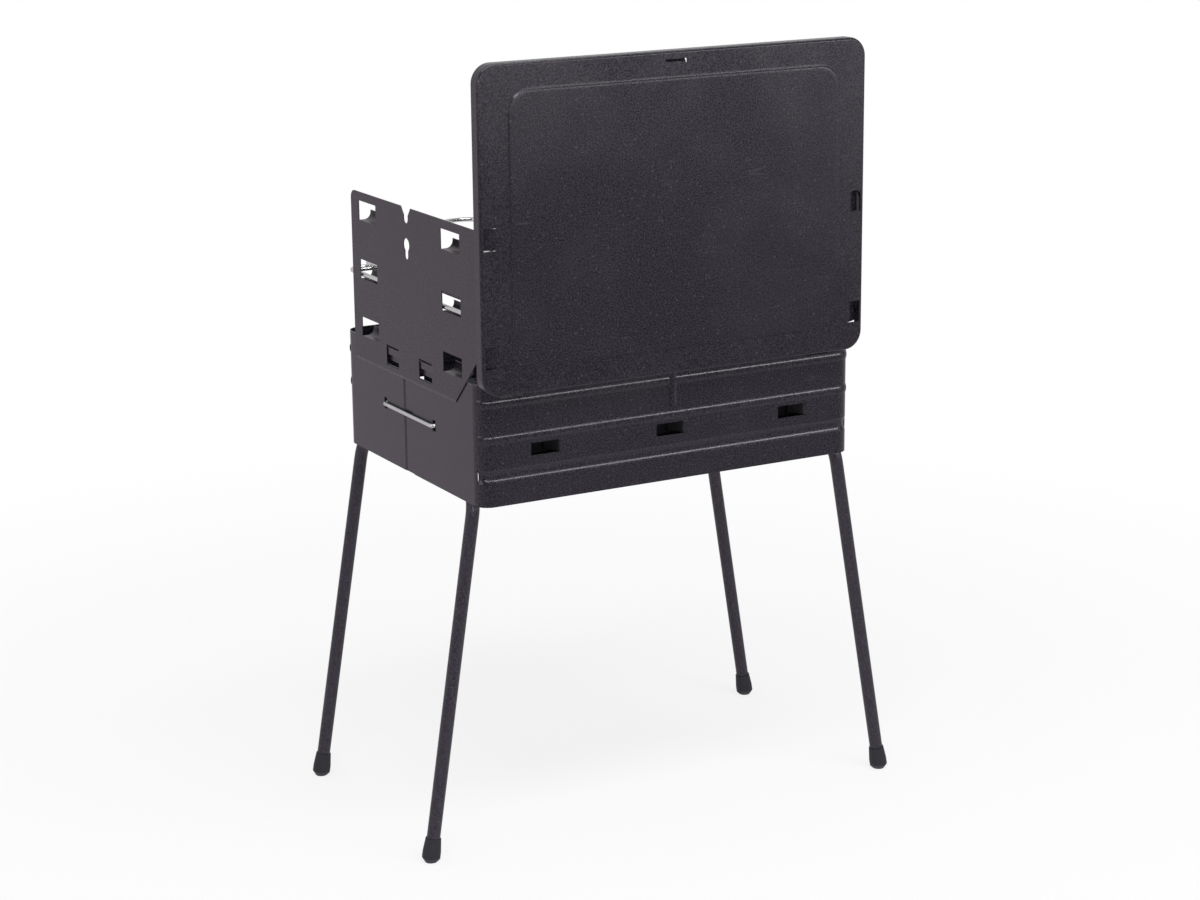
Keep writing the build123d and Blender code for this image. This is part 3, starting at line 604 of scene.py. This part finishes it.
def zinc_finish(settings):
    """Zinc coated sheet with spangles, matt where the rolls left it."""
    finish = Finish("zinc coated sheet")
    spangle = finish.group(zinc_spangle(), Size=settings.spangle_size)
    marks = finish.group(handling_marks())
    dust = finish.group(settled_dust(), Amount=0.12)["Dust"]
    light = tuple(settings.zinc)
    dark = tuple(value * 0.72 for value in light)
    colour = finish.layer(dark, spangle["Crystal"], 1.0, light)
    colour = finish.layer(colour, marks["Smudge"], 0.3, DULL_ZINC)
    finish.drive("Base Color", finish.layer(colour, dust, 1.0, CLIP_DUST))
    finish.roughness(0.34, (spangle["Crystal"], 0.16), (marks["Smudge"], 0.1))
    finish.fix(Metallic=0.85)
    finish.bump(spangle["Height"], 0.00003)
    return finish.material


def rubber_finish(settings):
    """Moulded rubber of the feet, dull, with a little grit at the sole."""
    finish = Finish("moulded foot rubber")
    grain = finish.group(fired_grain(), Size=0.0007)
    worn = finish.group(rim_wear(), Level=0.0, Width=0.006)["Wear"]
    colour = finish.layer(tuple(settings.rubber), grain["Grain"], 0.25, PALE_RUBBER)
    finish.drive("Base Color", finish.layer(colour, worn, 0.35, GRIT))
    finish.roughness(0.52, (grain["Grain"], 0.15))
    finish.bump(grain["Height"], 0.00006)
    return finish.material


def dress(material, *names):
    """Gives CAD nodes their finish through their material slots."""
    for name in names:
        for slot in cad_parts[name].material_slots:
            slot.material = material


def finished(name, shape, material, body):
    """A mesh object from a bmesh, at the origin, riding on a CAD body."""
    mesh = bpy.data.meshes.new(name)
    bmesh.ops.recalc_face_normals(shape, faces=shape.faces)
    for face in shape.faces:
        face.smooth = True
    shape.to_mesh(mesh)
    shape.free()
    mesh.materials.append(material)
    piece = bpy.data.objects.new(name, mesh)
    bpy.context.scene.collection.objects.link(piece)
    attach(piece, body)
    return piece


class GRILL_OT_box(bpy.types.Operator):
    """Finishes the two half shells of the box in fired enamel"""

    bl_idname = "grill.finish_box"
    bl_label = "Finish Box Shells"

    def execute(self, context):
        finish = context.scene.grill_finish
        front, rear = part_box("front_shell")[0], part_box("rear_shell")[1]
        middle = (front + rear) / 2
        middle.x = 0.0
        corner = finish.box_corner
        reach = (rear.x - corner, rear.y - middle.y - corner, rear.z - middle.z - finish.floor_depth)
        coat = enamel_finish(
            "fired box enamel", tuple(finish.enamel), tuple(finish.enamel_light),
            size=finish.grain_size, depth=finish.grain_depth, rim=rear.z, rim_width=finish.rim_width,
            rough=0.14, mottle=1.0, fleck=0.4, film=0.10, hollow=(middle, reach, corner - finish.wall_depth),
        )
        dress(coat, "rear_shell", "front_shell")
        return {"FINISHED"}


class GRILL_OT_lid(bpy.types.Operator):
    """Finishes the lid in fired enamel"""

    bl_idname = "grill.finish_lid"
    bl_label = "Finish Lid"

    def execute(self, context):
        finish = context.scene.grill_finish
        low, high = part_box("lid")
        corner = finish.field_corner
        lower, upper = low.z + finish.field_low, high.z - finish.field_high
        middle = (0.0, 0.0, (lower + upper) / 2)
        reach = (high.x - finish.field_side - corner, 0.0, (upper - lower) / 2 - corner)
        field = (middle, reach, corner, finish.field_width, finish.field_rise)
        coat = enamel_finish(
            "fired lid enamel", tuple(finish.enamel), tuple(finish.enamel_light),
            size=finish.grain_size, depth=finish.grain_depth, rim=high.z, rim_width=finish.rim_width,
            rough=0.16, mottle=0.88, fleck=0.4, film=0.08, field=field,
        )
        dress(coat, "lid")
        return {"FINISHED"}


class GRILL_OT_panels(bpy.types.Operator):
    """Finishes the two end panels in smooth enamel"""

    bl_idname = "grill.finish_panels"
    bl_label = "Finish End Panels"

    def execute(self, context):
        finish = context.scene.grill_finish
        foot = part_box("right_panel")[0].z
        coat = enamel_finish(
            "smooth panel enamel", tuple(finish.panel), tuple(finish.enamel_light),
            size=finish.grain_size * 0.8, depth=finish.grain_depth * 0.4, rim=foot, rim_width=0.0030,
            rough=0.24, mottle=0.10, fleck=0.10, film=0.10,
        )
        dress(coat, "right_panel", "left_panel")
        return {"FINISHED"}


class GRILL_OT_rack(bpy.types.Operator):
    """Plates the cooking rack and sets its spot welds"""

    bl_idname = "grill.finish_rack"
    bl_label = "Finish Cooking Rack"

    def execute(self, context):
        finish = context.scene.grill_finish
        plated = wire_finish("plated rack wire", tuple(finish.wire), 0.12, 0.55)
        dress(plated, "rack_frame", "rack_bars", "rack_handle")

        low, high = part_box("rack_bars")
        size = Matrix.Diagonal(WELD_SHAPE)
        first, last = low.x + EDGE_BAR / 2, high.x - EDGE_BAR / 2
        rims = (low.y + WELD_INSET, high.y - WELD_INSET)
        lines = (rims[0], low.y + CROSS_INSET, (low.y + high.y) / 2, high.y - CROSS_INSET, rims[1])
        beads = bmesh.new()
        for step in range(BAR_COUNT):
            x = first + (last - first) * step / (BAR_COUNT - 1)
            for y in lines:
                place = Matrix.Translation((x, y, low.z))
                bmesh.ops.create_uvsphere(
                    beads, u_segments=8, v_segments=5, radius=finish.weld_width / 2, matrix=place @ size,
                )
        finished("rack_welds", beads, plated, RACK_BODY)
        return {"FINISHED"}


class GRILL_OT_bails(bpy.types.Operator):
    """Finishes the two carrying bails in drawn steel"""

    bl_idname = "grill.finish_bails"
    bl_label = "Finish Carrying Bails"

    def execute(self, context):
        finish = context.scene.grill_finish
        steel = wire_finish("drawn bail wire", tuple(finish.bail), 0.18, 0.6)
        dress(steel, "right_bail", "left_bail", "clip_rivets")
        return {"FINISHED"}


class GRILL_OT_fire_box(bpy.types.Operator):
    """Finishes the base plate and the charcoal grate in matt black enamel, kept near black as painted shade
    inside the fire box
    """

    bl_idname = "grill.finish_fire_box"
    bl_label = "Finish Fire Box"

    def execute(self, context):
        finish = context.scene.grill_finish
        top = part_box("charcoal_grate")[1].z
        # Near black and hardly mirroring: black enamel that is also painted shade for the inside of the fire
        # box.
        coat = enamel_finish(
            "matt fire enamel", tuple(finish.fire), tuple(finish.enamel_light),
            size=finish.grain_size, depth=finish.grain_depth, rim=top, rim_width=0.0008,
            rough=0.5, mottle=0.20, fleck=0.3, film=0.03, gloss=FIRE_GLOSS,
        )
        dress(coat, "base_plate", "charcoal_grate")
        return {"FINISHED"}


class GRILL_OT_clips(bpy.types.Operator):
    """Finishes the four leg clips in zinc coated sheet"""

    bl_idname = "grill.finish_clips"
    bl_label = "Finish Leg Clips"

    def execute(self, context):
        dress(zinc_finish(context.scene.grill_finish), "right_leg_clips", "left_leg_clips")
        return {"FINISHED"}


class GRILL_OT_legs(bpy.types.Operator):
    """Finishes the two leg frames in a hammered coat"""

    bl_idname = "grill.finish_legs"
    bl_label = "Finish Leg Frames"

    def execute(self, context):
        dress(tube_finish(context.scene.grill_finish), "right_leg_frame", "left_leg_frame")
        return {"FINISHED"}


class GRILL_OT_feet(bpy.types.Operator):
    """Finishes the four feet in moulded rubber"""

    bl_idname = "grill.finish_feet"
    bl_label = "Finish Feet"

    def execute(self, context):
        rubber = rubber_finish(context.scene.grill_finish)
        dress(rubber, "right_rear_foot", "right_front_foot", "left_front_foot", "left_rear_foot")
        return {"FINISHED"}


def emitter(tree, kind, colour, strength):
    """A shader that gives light of its own."""
    return node(tree, kind, {"Color": solid_colour(colour), "Strength": strength}).outputs[0]


def mix_shaders(tree, factor, first, second):
    """Two shaders mixed by a factor."""
    return node(tree, "ShaderNodeMixShader", {0: factor, 1: first, 2: second}).outputs[0]


def finish_tree(tree, kind, shader):
    """Leads a shader to the tree's output."""
    node(tree, kind, {"Surface": shader})


def mirror_ray(tree, path):
    """Whether a ray comes from a mirroring or clear surface."""
    return calc(tree, "MAXIMUM", path["Is Glossy Ray"], path["Is Transmission Ray"])


def studio_world():
    """White to the camera, and a soft room that is brighter behind the grill than behind the camera."""
    world = bpy.data.worlds.new("studio")
    world.use_nodes = True
    tree = world.node_tree
    tree.nodes.clear()
    way = tree.nodes.new("ShaderNodeTexCoord").outputs["Generated"]
    bright = spread(tree, along(tree, way, "Y"), -0.20, 0.40, FRONT_ROOM, REAR_ROOM)
    room = emitter(tree, "ShaderNodeBackground", WHITE, bright)
    dimmed = emitter(tree, "ShaderNodeBackground", WHITE, calc(tree, "MULTIPLY", bright, MATT_SHARE))
    white = emitter(tree, "ShaderNodeBackground", WHITE, 1.0)
    path = tree.nodes.new("ShaderNodeLightPath").outputs
    mixed = mix_shaders(tree, mirror_ray(tree, path), dimmed, room)
    mixed = mix_shaders(tree, path["Is Camera Ray"], mixed, white)
    finish_tree(tree, "ShaderNodeOutputWorld", mixed)
    bpy.context.scene.world = world


def floor_material(colour):
    """Pale floor that keeps the grill's soft shadow near it and is plain white further off."""
    material = bpy.data.materials.new("pale floor")
    material.use_nodes = True
    tree = material.node_tree
    tree.nodes.clear()
    place = tree.nodes.new("ShaderNodeTexCoord").outputs["Object"]
    tone = blend_colour(tree, calc(tree, "MULTIPLY", noise(tree, place, 400.0), 0.04), colour, FLOOR_SPECK)
    matt = node(tree, "ShaderNodeBsdfDiffuse", {"Color": tone}).outputs[0]

    path = tree.nodes.new("ShaderNodeLightPath").outputs
    camera = path["Is Camera Ray"]
    x, y = along(tree, place, "X"), along(tree, place, "Y")
    rear = spread(tree, x, -1.6, -0.7, LEFT_REAR_FLOOR, REAR_FLOOR)
    level = calc(tree, "MAXIMUM", camera, spread(tree, y, -0.6, 2.4, FRONT_FLOOR, rear))
    hidden = calc(tree, "SUBTRACT", 1.0, camera)
    cast = calc(tree, "MULTIPLY", hidden, spread(tree, y, -0.6, 0.6, 1.0, 0.0))
    glow = emitter(tree, "ShaderNodeEmission", blend_colour(tree, cast, WHITE, FLOOR_CAST), level)

    share = spread(tree, length(tree, place), 0.30, 1.4, 0.80, 1.0)
    seen = calc(tree, "MAXIMUM", camera, mirror_ray(tree, path))
    mixed = mix_shaders(tree, calc(tree, "MULTIPLY", share, seen), matt, glow)
    finish_tree(tree, "ShaderNodeOutputMaterial", mixed)
    return material


def lamp(name, power, place, aim, size):
    """A soft rectangular lamp."""
    data = bpy.data.lights.new(name, "AREA")
    data.shape = "RECTANGLE"
    data.size, data.size_y = size
    data.energy = power
    made = bpy.data.objects.new(name, data)
    made.location = place
    made.rotation_euler = (Vector(aim) - Vector(place)).to_track_quat("-Z", "Y").to_euler()
    bpy.context.scene.collection.objects.link(made)


def aim_camera(stage):
    """The camera at the photograph's view."""
    back = Vector((
        math.sin(stage.turn) * math.cos(stage.lift),
        -math.cos(stage.turn) * math.cos(stage.lift),
        math.sin(stage.lift),
    ))
    right = Vector((0.0, 0.0, 1.0)).cross(back).normalized()
    up = back.cross(right)
    leant = right * math.cos(stage.roll) + up * math.sin(stage.roll)
    upright = up * math.cos(stage.roll) - right * math.sin(stage.roll)
    data = bpy.data.cameras.new("camera")
    data.sensor_width = 36.0
    data.sensor_fit = "HORIZONTAL"
    data.lens = stage.lens
    camera = bpy.data.objects.new("camera", data)
    turned = Matrix((leant, upright, back)).transposed().to_4x4()
    camera.matrix_world = Matrix.Translation(Vector(stage.target) + back * stage.distance) @ turned
    bpy.context.scene.collection.objects.link(camera)
    bpy.context.scene.camera = camera


class GRILL_OT_stage(bpy.types.Operator):
    """Sets the floor, the lamps and the camera"""

    bl_idname = "grill.stage"
    bl_label = "Set Stage"

    def execute(self, context):
        stage = context.scene.grill_stage
        disc = bmesh.new()
        bmesh.ops.create_circle(disc, cap_ends=True, segments=96, radius=stage.floor_reach)
        mesh = bpy.data.meshes.new("floor")
        disc.to_mesh(mesh)
        disc.free()
        mesh.materials.append(floor_material(tuple(stage.floor)))
        floor = bpy.data.objects.new("floor", mesh)
        context.scene.collection.objects.link(floor)
        studio_world()
        lamp("overhead lamp", stage.overhead, (0.15, 1.05, 2.3), (0.0, 0.10, 0.45), (1.9, 0.55))
        lamp("side lamp", stage.side, (2.4, 0.5, 1.5), (0.1, 0.05, 0.45), (1.2, 1.6))
        lamp("fill lamp", stage.fill, (-1.6, 1.5, 0.7), (-0.2, 0.05, 0.3), (1.0, 1.0))
        lamp("strip lamp", stage.strip, (-1.25, 2.35, 0.85), (0.0, 0.22, 0.42), (1.15, 0.22))
        lamp("corner strip lamp", stage.strip * 1.7, (0.80, 2.30, 0.82), (0.2, 0.20, 0.42), (3.0, 0.14))
        aim_camera(stage)
        context.scene.view_settings.view_transform = "Standard"
        return {"FINISHED"}


class GRILL_PT_sidebar(bpy.types.Panel):
    """Lists the grill's pieces, finishes and stage"""

    bl_idname = "GRILL_PT_sidebar"
    bl_label = "Charcoal Grill"
    bl_space_type = "VIEW_3D"
    bl_region_type = "UI"
    bl_category = "Grill"

    def draw(self, context):
        for settings, operators in (
            (context.scene.grill_finish, PIECES),
            (context.scene.grill_stage, (GRILL_OT_stage,)),
        ):
            box = self.layout.box()
            for name in settings.__annotations__:
                box.prop(settings, name)
            for operator in operators:
                box.operator(operator.bl_idname)


PIECES = (
    GRILL_OT_box,
    GRILL_OT_lid,
    GRILL_OT_panels,
    GRILL_OT_rack,
    GRILL_OT_bails,
    GRILL_OT_fire_box,
    GRILL_OT_clips,
    GRILL_OT_legs,
    GRILL_OT_feet,
)
CLASSES = (GrillFinish, GrillStage, *PIECES, GRILL_OT_stage, GRILL_PT_sidebar)


def register():
    for entry in CLASSES:
        bpy.utils.register_class(entry)
    bpy.types.Scene.grill_finish = PointerProperty(type=GrillFinish)
    bpy.types.Scene.grill_stage = PointerProperty(type=GrillStage)


def unregister():
    del bpy.types.Scene.grill_stage
    del bpy.types.Scene.grill_finish
    for entry in reversed(CLASSES):
        bpy.utils.unregister_class(entry)


def main():
    """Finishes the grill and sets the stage."""
    register()
    bpy.ops.grill.finish_box()
    bpy.ops.grill.finish_lid()
    bpy.ops.grill.finish_panels()
    bpy.ops.grill.finish_rack()
    bpy.ops.grill.finish_bails()
    bpy.ops.grill.finish_fire_box()
    bpy.ops.grill.finish_clips()
    bpy.ops.grill.finish_legs()
    bpy.ops.grill.finish_feet()
    bpy.ops.grill.stage()


if __name__ == "__main__":
    main()
